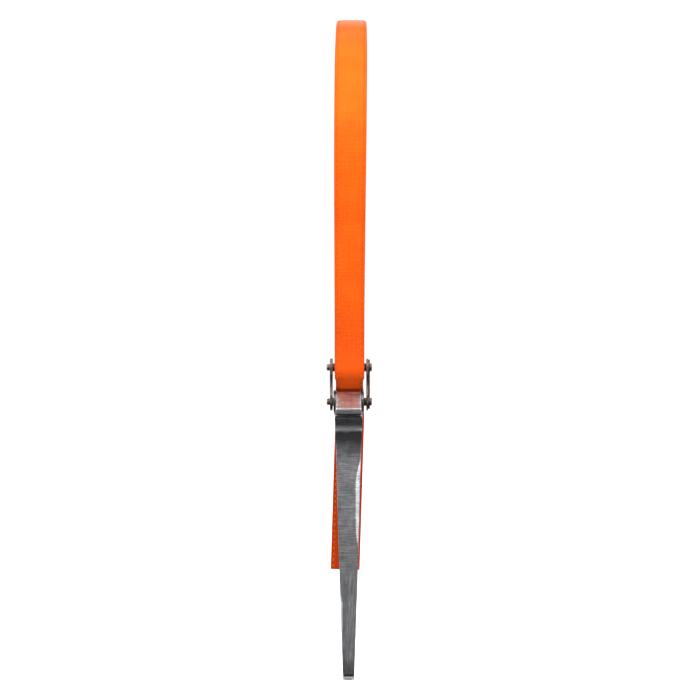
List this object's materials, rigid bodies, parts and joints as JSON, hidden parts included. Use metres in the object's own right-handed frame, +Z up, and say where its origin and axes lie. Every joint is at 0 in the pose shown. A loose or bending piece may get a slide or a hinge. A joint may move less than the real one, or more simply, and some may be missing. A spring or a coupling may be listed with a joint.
{
  "type": "strap wrench",
  "caption": "Strap wrench: a webbing loop sewn round a bush, two side links with riveted and clipped pins, and a tapered forged steel handle with a nose that traps the strap.",
  "frame": {"origin": "top of the strap's loop, where the inside of the webbing rests on what holds the tool up", "axes": "+Z up from the handle to the loop, +X across the webbing towards the clipped side, -Y the way the nose points"},
  "size_m": [0.0462, 0.2304, 0.6714],
  "materials": {
    "webbing": "woven nylon",
    "thread": "sewing thread",
    "bush_steel": "turned",
    "browned_steel": "browned",
    "spring_steel": "browned spring steel",
    "forged_steel": "forged, ground on its edges"
  },
  "bodies": {
    "strap": {"strap_loop": "webbing", "eye_stitching": "thread", "eye_bush": "bush_steel"},
    "link": {"upper_pin": "browned_steel", "lower_pin": "browned_steel", "left_link_plate": "browned_steel", "right_link_plate": "browned_steel", "spring_clip": "spring_steel", "strap_throat": "webbing"},
    "handle": {"handle": "forged_steel", "strap_tail": "webbing"}
  },
  "joints": [
    {"name": "link_swing", "type": "hinge", "parent": "strap", "child": "link", "pos_m": [0, 0, -0.35], "axis": [1, 0, 0], "range_deg": [-40, 40], "deforming": ["strap_throat"]},
    {"name": "handle_swing", "type": "hinge", "parent": "link", "child": "handle", "pos_m": [0, 0, -0.385], "axis": [1, 0, 0], "range_deg": [-70, 40], "deforming": ["strap_throat"]}
  ]
}
